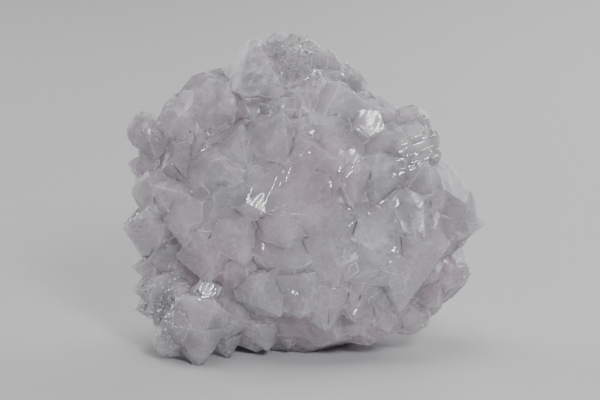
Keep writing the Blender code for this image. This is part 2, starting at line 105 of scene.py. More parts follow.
class CalciteLooks(PropertyGroup):
    """Sizes and colours of the crystal."""

    milky: FloatVectorProperty(
        name="Milky colour", description="Colour of the crystal where it is cloudy",
        subtype="COLOR", size=3, min=0.0, max=1.0, default=(0.56, 0.528, 0.573),
    )
    clear: FloatVectorProperty(
        name="Clear colour", description="Colour of the crystal where it is clear and deep",
        subtype="COLOR", size=3, min=0.0, max=1.0, default=(0.40, 0.382, 0.416),
    )
    pink: FloatVectorProperty(
        name="Pink colour", description="Colour where there is most manganese",
        subtype="COLOR", size=3, min=0.0, max=1.0, default=(0.54, 0.425, 0.505),
    )
    glow_depth: FloatProperty(
        name="Glow depth", description="How far light spreads inside the crystal",
        subtype="DISTANCE", unit="LENGTH", default=0.014, min=0.0,
    )
    # The bevel along the crystal edges, which also carries the painted highlight
    facet_edge: FloatProperty(
        name="Facet edge", description="Width of the worn edge between two crystal faces",
        subtype="DISTANCE", unit="LENGTH", default=0.00016, min=0.0,
    )
    mesh_step: FloatProperty(
        name="Mesh step", description="Longest edge left on a crystal face",
        subtype="DISTANCE", unit="LENGTH", default=0.00105, min=0.0003,
    )
    swell: FloatProperty(
        name="Face swell", description="Height of the gentle unevenness of the faces",
        subtype="DISTANCE", unit="LENGTH", default=0.00004, min=0.0,
    )
    mosaic_width: FloatProperty(
        name="Mosaic width", description="Width of the small blocks that a crystal face breaks into",
        subtype="DISTANCE", unit="LENGTH", default=0.0045, min=0.0005,
    )
    mosaic_tilt: FloatProperty(
        name="Mosaic tilt", description="How far the small blocks lean, as a slope",
        subtype="FACTOR", default=0.07, min=0.0, max=1.0,
    )
    splinter_width: FloatProperty(
        name="Splinter width", description="Width of the finest blocks of a crystal face",
        subtype="DISTANCE", unit="LENGTH", default=0.0022, min=0.0005,
    )
    block_seed: IntProperty(
        name="Block seed", description="Varies which way the blocks lean", default=4, min=1,
    )


class DruseLooks(PropertyGroup):
    """The crust of tiny crystals on the rims and the back."""

    smallest: FloatProperty(
        name="Smallest crystal", description="Width of the smallest druse crystal",
        subtype="DISTANCE", unit="LENGTH", default=0.00026, min=0.0,
    )
    largest: FloatProperty(
        name="Largest crystal", description="Width of the largest druse crystal",
        subtype="DISTANCE", unit="LENGTH", default=0.0007, min=0.0,
    )
    count: IntProperty(
        name="Crystals", description="How many places are tried for a druse crystal",
        default=40000, min=0,
    )
    seed: IntProperty(name="Seed", description="Varies where the druse sits", default=5, min=0)


class ChipLooks(PropertyGroup):
    """The small cleavage faces that flash in broken lines."""

    length: FloatProperty(
        name="Chip length", description="Longest that one small cleavage face is",
        subtype="DISTANCE", unit="LENGTH", default=0.0007, min=0.0001,
    )
    depth: FloatProperty(
        name="Chip depth", description="How thick a small cleavage face is, most of it sunk in the crystal",
        subtype="DISTANCE", unit="LENGTH", default=0.0005, min=0.0001,
    )
    proud: FloatProperty(
        name="Chip height", description="How far the middle of a small cleavage face stands out",
        subtype="DISTANCE", unit="LENGTH", default=0.00011, min=0.0,
    )


class StudioSetup(PropertyGroup):
    """Camera and lights."""

    distance: FloatProperty(
        name="Camera distance", description="From the camera to the display face",
        subtype="DISTANCE", unit="LENGTH", default=0.5, min=0.05,
    )
    sensor: FloatProperty(
        name="Sensor width", description="Width of the camera's sensor, in millimetres",
        default=36.0, min=1.0,
    )
    light: FloatProperty(
        name="Light", description="Strength of all the lights together",
        subtype="FACTOR", default=0.7, min=0.0,
    )
    floor: FloatVectorProperty(
        name="Floor colour", description="Colour of the plain floor",
        subtype="COLOR", size=3, min=0.0, max=1.0, default=(0.67, 0.67, 0.68),
    )


# Small helpers for shader nodes

def add(tree, kind, links=(), **settings):
    """A node with these settings. Each link is an input and the socket or value that it takes."""
    node = tree.nodes.new(kind)
    for name, value in settings.items():
        setattr(node, name, value)
    for key, source in links:
        if isinstance(source, bpy.types.NodeSocket):
            tree.links.new(source, node.inputs[key])
        else:
            node.inputs[key].default_value = source
    return node


def maths(tree, operation, a, b=0.0):
    """The result of a sum, product or the like."""
    return add(tree, "ShaderNodeMath", ((0, a), (1, b)), operation=operation).outputs[0]


def ease(tree, value, low, high, floor=0.0, ceiling=1.0):
    """Takes low..high smoothly to floor..ceiling."""
    node = add(tree, "ShaderNodeMapRange",
               (("Value", value), ("From Min", low), ("From Max", high),
                ("To Min", floor), ("To Max", ceiling)), interpolation_type="SMOOTHSTEP")
    return node.outputs["Result"]


def mix_value(tree, mask, a, b):
    """One number turning into another by the mask."""
    return add(tree, "ShaderNodeMix", ((0, mask), (2, a), (3, b)), data_type="FLOAT").outputs[0]


def mix(tree, mask, a, b):
    """One colour turning into another by the mask."""
    node = add(tree, "ShaderNodeMix", ((0, mask), (6, a), (7, b)), data_type="RGBA")
    return node.outputs[2]


def fractal(tree, place, size, detail=4.0, rough=0.55, warp=0.0):
    """Cloudy noise whose lumps are about this many millimetres wide."""
    node = add(tree, "ShaderNodeTexNoise",
               (("Vector", place), ("Scale", 1.0 / size), ("Detail", detail),
                ("Roughness", rough), ("Distortion", warp)))
    return node.outputs["Fac"]


def new_group(name, inputs, outputs):
    """A shader node group with these sockets: (name, kind, default) and (name, kind)."""
    tree = bpy.data.node_groups.new(name, "ShaderNodeTree")
    for title, kind, default in inputs:
        made = tree.interface.new_socket(name=title, in_out="INPUT", socket_type=kind)
        if default is not None:
            made.default_value = default
    for title, kind in outputs:
        tree.interface.new_socket(name=title, in_out="OUTPUT", socket_type=kind)
    start = tree.nodes.new("NodeGroupInput")
    end = tree.nodes.new("NodeGroupOutput")
    return tree, start.outputs, end.inputs


def spot_group():
    """A soft round mask about a point."""
    tree, given, made = new_group(
        "Soft spot",
        (("Place", "NodeSocketVector", None), ("Centre", "NodeSocketVector", None),
         ("Radius", "NodeSocketFloat", 5.0)),
        (("Mask", "NodeSocketFloat"),))
    apart = add(tree, "ShaderNodeVectorMath", ((0, given["Place"]), (1, given["Centre"])),
                operation="DISTANCE").outputs["Value"]
    share = maths(tree, "DIVIDE", apart, given["Radius"])
    tree.links.new(ease(tree, share, 1.25, 0.35), made["Mask"])
    return tree


def veil_group():
    """Wispy sheets of tiny inclusions, and broad clouds, inside a crystal."""
    tree, given, made = new_group(
        "Veils",
        (("Place", "NodeSocketVector", None), ("Size", "NodeSocketFloat", 9.0),
         ("Fineness", "NodeSocketFloat", 0.6)),
        (("Wisps", "NodeSocketFloat"), ("Clouds", "NodeSocketFloat"), ("Specks", "NodeSocketFloat")))
    scaled = add(tree, "ShaderNodeVectorMath", ((0, given["Place"]), (3, 1.0)), operation="SCALE")
    tree.links.new(maths(tree, "DIVIDE", 1.0, given["Size"]), scaled.inputs["Scale"])
    place = scaled.outputs[0]
    # Where the noise passes through its middle it makes thin sheets
    sheets = add(tree, "ShaderNodeTexNoise",
                 (("Vector", place), ("Scale", 1.3), ("Detail", 6.0),
                  ("Roughness", given["Fineness"]), ("Distortion", 0.9))).outputs["Fac"]
    apart = maths(tree, "ABSOLUTE", maths(tree, "SUBTRACT", sheets, 0.5))
    wisps = ease(tree, apart, 0.055, 0.0)
    fields = fractal(tree, place, 1.1, 2.0)
    tree.links.new(maths(tree, "MULTIPLY", wisps, ease(tree, fields, 0.42, 0.62)), made["Wisps"])
    clouds = fractal(tree, place, 0.8, 5.0, 0.6, 0.4)
    tree.links.new(ease(tree, clouds, 0.36, 0.66), made["Clouds"])
    dots = add(tree, "ShaderNodeTexVoronoi", (("Vector", place), ("Scale", 6.0)))
    tree.links.new(ease(tree, dots.outputs["Distance"], 0.13, 0.05), made["Specks"])
    return tree


def growth_group():
    """The height of growth steps and fine lines on crystal faces."""
    tree, given, made = new_group(
        "Growth lines",
        (("Place", "NodeSocketVector", None), ("Spacing", "NodeSocketFloat", 0.9),
         ("Turn", "NodeSocketVector", (0.4, 0.3, 0.4))),
        (("Height", "NodeSocketFloat"),))
    turned = add(tree, "ShaderNodeVectorRotate", (("Vector", given["Place"]), ("Rotation", given["Turn"])),
                 rotation_type="EULER_XYZ").outputs[0]
    waves = add(tree, "ShaderNodeTexWave",
                (("Vector", turned), ("Distortion", 2.2), ("Detail", 3.0), ("Detail Scale", 0.5)),
                wave_type="BANDS", bands_direction="Z", wave_profile="SAW")
    tree.links.new(maths(tree, "DIVIDE", 0.314, given["Spacing"]), waves.inputs["Scale"])
    where = ease(tree, fractal(tree, given["Place"], 7.0, 2.0), 0.45, 0.62)
    tree.links.new(maths(tree, "MULTIPLY", waves.outputs["Fac"], where), made["Height"])
    return tree


def millimetres(tree):
    """The place on the piece, in millimetres."""
    place = add(tree, "ShaderNodeTexCoord").outputs["Object"]
    return add(tree, "ShaderNodeMapping",
               (("Vector", place), ("Scale", (1 / MM, 1 / MM, 1 / MM)))).outputs[0]


# Zones of the crystal: the pixel at their middle, how far out they lie and their radius, in millimetres
PINK_ZONES = (
    (215, 258, 8, 9.0), (303, 326, 3, 6.0), (370, 336, 2, 9.0), (315, 172, 11, 10.0),
    (437, 278, 2, 6.0), (262, 235, 10, 6.0),
)
CLOUDY_ZONES = (
    (268, 190, 8, 5.0), (362, 255, 9, 8.5), (312, 100, 6, 7.0), (292, 262, 11, 6.5), (345, 163, 9, 5.0),
    (190, 215, 7, 6.0), (300, 60, 0, 5.5), (415, 150, 4, 6.0),
)
CLEAR_ZONES = (
    (375, 94, -1, 5.0), (290, 334, -1, 6.0), (445, 297, -3, 4.5), (180, 96, 0, 6.0),
    (253, 92, 4, 4.5), (372, 197, 8, 3.6), (135, 230, -2, 6.0), (345, 200, 8, 3.0),
)


def grouped(tree, group, links):
    """The outputs of a node group placed in a tree."""
    return add(tree, "ShaderNodeGroup", links, node_tree=group).outputs


def zones(tree, place, spots, spot):
    """One mask for several soft spots."""
    total = None
    for x, y, out, radius in spots:
        centre = at_pixel(x, y, out) / MM
        mask = grouped(tree, spot, (("Place", place), ("Centre", centre), ("Radius", radius)))["Mask"]
        total = mask if total is None else maths(tree, "MAXIMUM", total, mask)
    return total


def rgb(colour):
    """A colour with full alpha."""
    return (*colour, 1.0)


# How light passes through every kind of this crystal
CALCITE_IOR = 1.6
GLOW_TINT = (1.0, 0.9, 0.95)
CLEAR_SHARE = 0.18  # of the light goes straight through the large crystals
SKIN_GLOW = 2.0 * MM  # how deep light spreads in the druse and the chips

# Colours laid over the crystal's own
WISP_WHITE = (0.78, 0.77, 0.80, 1.0)
GROWTH_WHITE = (0.74, 0.73, 0.76, 1.0)
# Painted highlight: the white laid on the bevels along the crystal edges, standing in for the light they
# catch
EDGE_GLINT_WHITE = (0.92, 0.91, 0.94, 1.0)
SUGAR_WHITE = (0.93, 0.92, 0.94, 1.0)
SPECK_DARK = (0.12, 0.11, 0.12, 1.0)

# How strongly each shows
PINK_STRENGTH = 0.75
WISP_STRENGTH = 0.5
FINE_WISP_STRENGTH = (0.25, 0.6)  # everywhere, and more in the cloudy zones
GROWTH_STRENGTH = 0.3
# how strongly the painted edge highlight shows
EDGE_GLINT_STRENGTH = 0.8
SPECK_STRENGTH = 0.55

# What makes a place milky or clear, as shares
CLOUD_SHARE = 0.7
TONE_SHARE = 0.25
CLOUDY_SHARE = 0.35
CLEAR_ZONE_SHARE = 0.55

# Widths of the patterns, in millimetres
VEIL_SIZE = 9.0
FINE_VEIL_SIZE = 3.6
DRUSE_VEIL_SIZE = 4.0
PINK_CLOUD_SIZE = 15.0
GLOSS_SIZE = 2.4
POLISH_SIZE = 1.1
GRIT_SIZE = 0.5
WAVE_SIZE = 3.0
DRUSE_GLOSS_SIZE = 1.0
DRUSE_GRIT_SIZE = 0.35
CHIP_HAZE_SIZE = 0.8

# Two sets of growth lines: distance apart in millimetres and turn
STEP_LINES = (0.8, (0.35, 0.4, 0.2))
CROSS_LINES = (0.45, (1.2, -0.7, 0.9))

# The streaks of the flashing faces: turn, and length along each axis
STREAK_TURN = (0.0, -1.0, 0.0)
STREAK_STRETCH = (4.0, 1.0, 0.4)

# Where a noise passes from one state to the other, and the roughness at each end
PINK_CLOUD_SPAN = (0.5, 0.68)
PINK_CLOUD_RANGE = (0.0, 0.4)
SPECK_SPAN = (0.9, 0.2)
GLOSS_SPAN = (0.35, 0.7)
POLISH_SPAN = (0.49, 0.55)
HAZE_SPAN = (0.3, 0.7)
FACE_ROUGHNESS = (0.2, 0.42)
CLOUDY_ROUGHNESS = 0.08
FLASH_ROUGHNESS = (0.55, 0.08)
DRUSE_ROUGHNESS = (0.08, 0.3)
CHIP_ROUGHNESS = (0.05, 0.16)

# Shares of the fine relief, and its height in metres
STEP_RELIEF = 0.5
CROSS_RELIEF = 0.25
GRIT_RELIEF = 0.25
WAVE_RELIEF = 1.2
FLASH_RELIEF = 0.12  # what is left of it on the flashing faces
FACE_RELIEF = (0.55, 0.00012)
DRUSE_RELIEF = (0.3, 0.00005)


def crystal_material(name, glow_depth):
    """A new material of translucent crystal, with its shader."""
    material = bpy.data.materials.new(name)
    material.use_nodes = True
    shader = material.node_tree.nodes["Principled BSDF"]
    shader.inputs["Subsurface Weight"].default_value = 1.0
    shader.inputs["Subsurface Radius"].default_value = GLOW_TINT
    shader.inputs["Subsurface Scale"].default_value = glow_depth
    shader.inputs["IOR"].default_value = CALCITE_IOR
    shader.inputs["Metallic"].default_value = 0.0
    return material, shader


def face_mark(tree, name):
    """What a face of the mesh is marked with."""
    return add(tree, "ShaderNodeAttribute", attribute_name=name).outputs["Fac"]


def relief(tree, shader, height, strength, distance):
    """Raises the surface by the height."""
    bump = add(tree, "ShaderNodeBump", (("Strength", strength), ("Distance", distance), ("Height", height)))
    tree.links.new(bump.outputs[0], shader.inputs["Normal"])


def weighted(tree, parts):
    """The sum of several values, each times its share."""
    total = None
    for value, share in parts:
        part = maths(tree, "MULTIPLY", value, share)
        total = part if total is None else maths(tree, "ADD", total, part)
    return total


def calcite_material(looks, groups):
    """Milky, faintly pink calcite with veils inside, growth lines on its faces and a painted highlight along
    its edges.
    """
    material, shader = crystal_material("milky_calcite", looks.glow_depth)
    shader.inputs["Transmission Weight"].default_value = CLEAR_SHARE
    tree = material.node_tree
    place = millimetres(tree)
    veils = grouped(tree, groups["veils"], (("Place", place), ("Size", VEIL_SIZE), ("Fineness", 0.62)))
    fine = grouped(tree, groups["veils"], (("Place", place), ("Size", FINE_VEIL_SIZE), ("Fineness", 0.7)))
    steps, cross = (
        grouped(tree, groups["growth"], (("Place", place), ("Spacing", apart), ("Turn", turn)))["Height"]
        for apart, turn in (STEP_LINES, CROSS_LINES)
    )
    pink_clouds = ease(tree, fractal(tree, place, PINK_CLOUD_SIZE, 2.0), *PINK_CLOUD_SPAN, *PINK_CLOUD_RANGE)
    pink = maths(tree, "MAXIMUM", zones(tree, place, PINK_ZONES, groups["spot"]), pink_clouds)
    cloudy = zones(tree, place, CLOUDY_ZONES, groups["spot"])
    clear = zones(tree, place, CLEAR_ZONES, groups["spot"])
    mirror = face_mark(tree, "mirror_face")

    milk = weighted(tree, ((veils["Clouds"], CLOUD_SHARE), (face_mark(tree, "crystal_tone"), TONE_SHARE),
                           (cloudy, CLOUDY_SHARE), (clear, -CLEAR_ZONE_SHARE)))
    everywhere, in_clouds = FINE_WISP_STRENGTH
    fine_share = maths(tree, "ADD", everywhere, maths(tree, "MULTIPLY", cloudy, in_clouds))
    wisp = maths(tree, "MAXIMUM", maths(tree, "MULTIPLY", veils["Wisps"], WISP_STRENGTH),
                 maths(tree, "MULTIPLY", fine["Wisps"], fine_share))
    speck = maths(tree, "MULTIPLY", veils["Specks"], ease(tree, veils["Clouds"], *SPECK_SPAN))
    base = mix(tree, ease(tree, milk, 0.0, 1.0), rgb(looks.clear), rgb(looks.milky))
    base = mix(tree, maths(tree, "MULTIPLY", pink, PINK_STRENGTH), base, rgb(looks.pink))
    base = mix(tree, wisp, base, WISP_WHITE)
    base = mix(tree, maths(tree, "MULTIPLY", steps, GROWTH_STRENGTH), base, GROWTH_WHITE)
    # Painted highlight: the narrow bevel faces along the crystal edges are lightened towards white, as if
    # they caught the light
    base = mix(tree, maths(tree, "MULTIPLY", face_mark(tree, "painted_edge_glint"), EDGE_GLINT_STRENGTH), base, EDGE_GLINT_WHITE)
    base = mix(tree, maths(tree, "MULTIPLY", speck, SPECK_STRENGTH), base, SPECK_DARK)
    tree.links.new(base, shader.inputs["Base Color"])

    gloss = fractal(tree, place, GLOSS_SIZE, 4.0, 0.6)
    rough = maths(tree, "ADD", ease(tree, gloss, *GLOSS_SPAN, *FACE_ROUGHNESS),
                  maths(tree, "MULTIPLY", cloudy, CLOUDY_ROUGHNESS))
    streaks = add(tree, "ShaderNodeMapping", (("Vector", place), ("Rotation", STREAK_TURN),
                                              ("Scale", STREAK_STRETCH)), vector_type="TEXTURE").outputs[0]
    polish = ease(tree, fractal(tree, streaks, POLISH_SIZE, 4.0, 0.65), *POLISH_SPAN)
    rough = mix_value(tree, mirror, rough, ease(tree, polish, 0.0, 1.0, *FLASH_ROUGHNESS))
    tree.links.new(rough, shader.inputs["Roughness"])

    height = weighted(tree, ((steps, STEP_RELIEF), (cross, CROSS_RELIEF),
                             (fractal(tree, place, GRIT_SIZE, 3.0, 0.6), GRIT_RELIEF),
                             (fractal(tree, place, WAVE_SIZE, 2.0), WAVE_RELIEF)))
    height = maths(tree, "MULTIPLY", height, ease(tree, mirror, 0.0, 1.0, 1.0, FLASH_RELIEF))
    relief(tree, shader, height, *FACE_RELIEF)
    return material


def druse_material(looks, groups):
    """The glassy, whiter crust of tiny crystals."""
    material, shader = crystal_material("sugary_druse", SKIN_GLOW)
    tree = material.node_tree
    place = millimetres(tree)
    veils = grouped(tree, groups["veils"], (("Place", place), ("Size", DRUSE_VEIL_SIZE), ("Fineness", 0.6)))
    tree.links.new(mix(tree, veils["Clouds"], rgb(looks.milky), SUGAR_WHITE), shader.inputs["Base Color"])
    gloss = fractal(tree, place, DRUSE_GLOSS_SIZE)
    tree.links.new(ease(tree, gloss, *GLOSS_SPAN, *DRUSE_ROUGHNESS), shader.inputs["Roughness"])
    relief(tree, shader, fractal(tree, place, DRUSE_GRIT_SIZE, 2.0), *DRUSE_RELIEF)
    return material


def chip_material(looks):
    """Clean, mirror-smooth cleavage."""
    material, shader = crystal_material("clean_cleavage", SKIN_GLOW)
    tree = material.node_tree
    haze = fractal(tree, millimetres(tree), CHIP_HAZE_SIZE, 3.0)
    tree.links.new(mix(tree, haze, rgb(looks.clear), rgb(looks.milky)), shader.inputs["Base Color"])
    tree.links.new(ease(tree, haze, *HAZE_SPAN, *CHIP_ROUGHNESS), shader.inputs["Roughness"])
    return material


def shared_groups():
    """The node groups, built once."""
    found = bpy.data.node_groups.get("Veils")
    if found:
        return {"veils": found, "spot": bpy.data.node_groups["Soft spot"],
                "growth": bpy.data.node_groups["Growth lines"]}
    return {"veils": veil_group(), "spot": spot_group(), "growth": growth_group()}


# Corners closer than this are one, and faces this nearly level are one
MERGE_DISTANCE = 2e-6
LEVEL_ANGLE = math.radians(0.8)


def cad_copy():
    """The cluster's solid as one merged mesh, its flat faces whole again."""
    bm = bmesh.new()
    bm.from_mesh(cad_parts["calcite_cluster"].data)
    bmesh.ops.remove_doubles(bm, verts=bm.verts, dist=MERGE_DISTANCE)
    bmesh.ops.dissolve_limit(bm, angle_limit=LEVEL_ANGLE, verts=bm.verts, edges=bm.edges)
    return bm


def show(name, bm, material):
    """Makes a piece from a finished bmesh."""
    mesh = bpy.data.meshes.new(name)
    bm.to_mesh(mesh)
    bm.free()
    mesh.materials.append(material)
    piece = bpy.data.objects.new(name, mesh)
    bpy.context.scene.collection.objects.link(piece)
    return piece


def longer_edges(bm, longest):
    """The edges longer than this, the longest first."""
    edges = [edge for edge in bm.edges if edge.calc_length() > longest]
    return sorted(edges, key=bmesh.types.BMEdge.calc_length, reverse=True)


def corner_number(face, count):
    """A number that tells a triangle from every other by its corners."""
    low, middle, high = sorted(vertex.index for vertex in face.verts)
    return (low * count + middle) * count + high


def split_long_edges(bm, longest):
    """Halves the longer edges one at a time until every face is small.

    The subdivide operator joins its new corners differently from one run to the next, and this doesn't.
    """
    bmesh.ops.triangulate(bm, faces=bm.faces)
    bm.verts.index_update()
    count = len(bm.verts)
    bm.faces.sort(key=lambda face: corner_number(face, count))
    edges = longer_edges(bm, longest)
    while edges:
        for edge in edges:
            middle = bmesh.utils.edge_split(edge, edge.verts[0], 0.5)[1]
            for loop in list(middle.link_loops):
                bmesh.utils.face_split(loop.face, middle, loop.link_loop_next.link_loop_next.vert)
        edges = longer_edges(bm, longest)


# How much of its depth a gap between crystals loses in each round of filling
FILL_SHARE = 0.8
FILL_ROUNDS = 16


def fill_crevices(bm):
    """Raises the bottoms of the gaps between crystals, which have grown together there."""
    for _ in range(FILL_ROUNDS):
        bm.normal_update()
        moves = []
        for vertex in bm.verts:
            near = [edge.other_vert(vertex).co for edge in vertex.link_edges]
            depth = (sum(near, Vector()) / len(near) - vertex.co).dot(vertex.normal)
            if depth > 0 and vertex.co.z > BASE_BAND:
                moves.append((vertex, FILL_SHARE * depth * vertex.normal))
        for vertex, move in moves:
            vertex.co += move


# Widths of the swells on a crystal face, and the finer one's share of the height
SWELLS = (4.5 * MM, 1.6 * MM)
FINE_SWELL = 0.4

# Nothing this close to the flat base is moved, so that the specimen rests on it
BASE_BAND = 0.6 * MM


LEAN_SPREAD = 7.3  # how fast the lean changes from block to block


def block_height(place, width):
    """How high this place stands on the small leaning block it belongs to, for a slope of one."""
    middle = noise.voronoi(place / width)[1][0]
    lean = noise.noise_vector(middle * LEAN_SPREAD)
    return lean.dot(place / width - middle) * width


def swell_faces(bm, looks):
    """Breaks the faces into shallow leaning blocks and makes them gently uneven."""
    # Without a seed the blocks lean differently in each run
    noise.seed_set(looks.block_seed)
    bm.normal_update()
    moves = []
    mirror = bm.faces.layers.float["mirror_face"]
    for vertex in bm.verts:
        broad, narrow = (noise.noise(vertex.co / width) for width in SWELLS)
        height = looks.swell * (broad + FINE_SWELL * narrow)
        height += looks.mosaic_tilt * block_height(vertex.co, looks.mosaic_width)
        height += looks.mosaic_tilt * block_height(vertex.co, looks.splinter_width)
        still = vertex.co.z < BASE_BAND or any(face[mirror] for face in vertex.link_faces)
        moves.append(vertex.normal * (0.0 if still else height))
    for vertex, move in zip(bm.verts, moves):
        vertex.co += move
        for axis in range(3):
            vertex.co[axis] = min(max(vertex.co[axis], CAD_BOX[0][axis]), CAD_BOX[1][axis])


FACE_MARKS = ("crystal_tone", "painted_edge_glint", "mirror_face")
TONE_SEED = 3
CORNER_ANGLE = math.radians(12)  # edges sharper than this get a narrow bevel, which is painted with a highlight
SHARP_ANGLE = math.radians(6)  # and those sharper than this aren't shaded smooth


def mark_crystals(bm, tone, mirror):
    """Gives each crystal face its own tone, and marks those that flash."""
    chance = random.Random(TONE_SEED)
    for face in bm.faces:
        face[tone] = chance.random()
        face[mirror] = float(face.normal.angle(FLASH_FACE) < MIRROR_SPREAD and face.normal.dot(OUT) > 0)


def bevel_and_mark_glint(bm, glint_layer, width):
    """Cuts a narrow bevel face along each edge between crystal faces, and marks it for the painted highlight.
    """
    corners = [edge for edge in bm.edges
               if len(edge.link_faces) == 2 and edge.calc_face_angle(0.0) > CORNER_ANGLE]
    made = bmesh.ops.bevel(bm, geom=corners, offset=width, offset_type="OFFSET", segments=1, profile=0.5,
                           affect="EDGES", clamp_overlap=True, material=-1)
    # the mark that the shader paints as a highlight
    for face in made["faces"]:
        face[glint_layer] = 1.0


class CALCITE_OT_cluster(Operator):
    """Dresses the crystal cluster"""

    bl_idname = "calcite.cluster"
    bl_label = "Calcite cluster"

    def execute(self, context):
        looks = context.scene.calcite_looks
        bm = cad_copy()
        for name in FACE_MARKS:
            bm.faces.layers.float.new(name)
        tone, glint_layer, mirror = (bm.faces.layers.float[name] for name in FACE_MARKS)
        mark_crystals(bm, tone, mirror)
        # The bevels along the edges are marked here for the painted highlight
        bevel_and_mark_glint(bm, glint_layer, looks.facet_edge)
        split_long_edges(bm, looks.mesh_step)
        fill_crevices(bm)
        swell_faces(bm, looks)
        for face in bm.faces:
            face.smooth = True
        for edge in bm.edges:
            edge.smooth = edge.calc_face_angle(0.0) < SHARP_ANGLE
        piece = show("calcite", bm, calcite_material(looks, shared_groups()))
        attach(piece, "root")
        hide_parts("calcite_cluster")
        return {"FINISHED"}


# Where druse grows on the display face: pixel, radius in millimetres, share covered
DRUSE_PATCHES = (
    (165, 305, 4.5, 0.8), (135, 290, 3.5, 0.5), (172, 338, 2.5, 0.3), (295, 50, 4.5, 0.8),
    (312, 72, 3.0, 0.5), (345, 70, 3.0, 0.3), (465, 270, 2.5, 0.2), (430, 125, 2.5, 0.25),
    (385, 258, 2.2, 0.35), (345, 172, 1.6, 0.35), (276, 113, 2.0, 0.4), (362, 243, 2.5, 0.12),
    (430, 315, 3.0, 0.25), (294, 296, 2.0, 0.2), (128, 225, 2.5, 0.3), (150, 130, 2.5, 0.2),
    (225, 352, 2.5, 0.3), (380, 85, 2.5, 0.3),
)
PATCH_FADE = 1.4  # a patch ends at this many times its radius
BACK_COVER = 0.07
BACK_FACING = -0.1  # what faces away more than this is the back
BACK_PATCH = 9.0 * MM
BACK_LEVEL = 0.05
RIM_COVER = 0.02
RIM_FACING = 0.25
PARALLEL_SHARE = 0.16  # of the crystals that face the viewer have grown parallel, and flash together
PARALLEL_LEAN = 0.12
DRUSE_LEAN = 0.5
DRUSE_STRETCH = 1.35
DRUSE_BODY = 0.8  # the cube inside a crystal, as a share of its width
DRUSE_SUNK = 0.1
BARE_HEIGHT = 1.5 * MM  # no druse grows this near the flat base
BOX_MARGIN = 0.2 * MM


def druse_cover(place, normal):
    """The share of the tries that grow druse here."""
    facing = normal.dot(OUT)
    if facing < BACK_FACING:
        return BACK_COVER * (noise.noise(place / BACK_PATCH) > BACK_LEVEL)
    cover = RIM_COVER * (facing < RIM_FACING)
    for x, y, radius, share in DRUSE_PATCHES:
        apart = place - at_pixel(x, y)
        apart = (apart - apart.dot(OUT) * OUT).length / MM
        cover = max(cover, share * min(1.0, max(0.0, PATCH_FADE - apart / radius)))
    return cover


def place_on(face, chance):
    """A random place on a triangle."""
    a, b = chance.random(), chance.random()
    if a + b > 1:
        a, b = 1 - a, 1 - b
    first, second, third = (corner.co for corner in face.verts)
    return first + a * (second - first) + b * (third - first)


def turned_to(direction):
    """The turn that points a crystal's own up this way."""
    return direction.to_track_quat("Z", "Y").to_matrix().to_4x4()


class CALCITE_OT_druse(Operator):
    """Grows the crust of tiny crystals on the rims and the back"""

    bl_idname = "calcite.druse"
    bl_label = "Druse"

    def execute(self, context):
        druse = context.scene.druse_looks
        chance = random.Random(druse.seed)
        ground = cad_copy()
        bmesh.ops.triangulate(ground, faces=ground.faces)
        faces = [face for face in ground.faces if face.calc_center_median().z > BARE_HEIGHT]
        areas = [face.calc_area() for face in faces]
        bm = bmesh.new()
        margin = Vector((BOX_MARGIN, BOX_MARGIN, BOX_MARGIN))
        low = Vector(CAD_BOX[0]) + margin
        high = Vector(CAD_BOX[1]) - margin
        stretch = Matrix.Diagonal((1.0, 1.0, DRUSE_STRETCH, 1.0))
        corner_up = Vector((1, 1, 1)).rotation_difference(Vector((0, 0, 1))).to_matrix().to_4x4()
        for face in chance.choices(faces, weights=areas, k=druse.count):
            place = place_on(face, chance)
            if chance.random() > druse_cover(place, face.normal):
                continue
            size = druse.smallest + (druse.largest - druse.smallest) * chance.random() ** 2
            if any(not low[i] + size < place[i] < high[i] - size for i in range(3)):
                continue
            lean = Vector([chance.uniform(-DRUSE_LEAN, DRUSE_LEAN) for _ in range(3)])
            spin = Matrix.Rotation(chance.uniform(0, math.tau), 4, "Z")
            turn = turned_to(face.normal + lean) @ spin @ stretch @ corner_up
            if chance.random() < PARALLEL_SHARE and face.normal.dot(OUT) > 0:
                turn = turned_to(FLASH_FACE + PARALLEL_LEAN * lean) @ spin
            at = Matrix.Translation(place - DRUSE_SUNK * size * face.normal)
            bmesh.ops.create_cube(bm, size=size * DRUSE_BODY, matrix=at @ turn)
        ground.free()
        piece = show("druse", bm, druse_material(context.scene.calcite_looks, shared_groups()))
        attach(piece, "root")
        return {"FINISHED"}


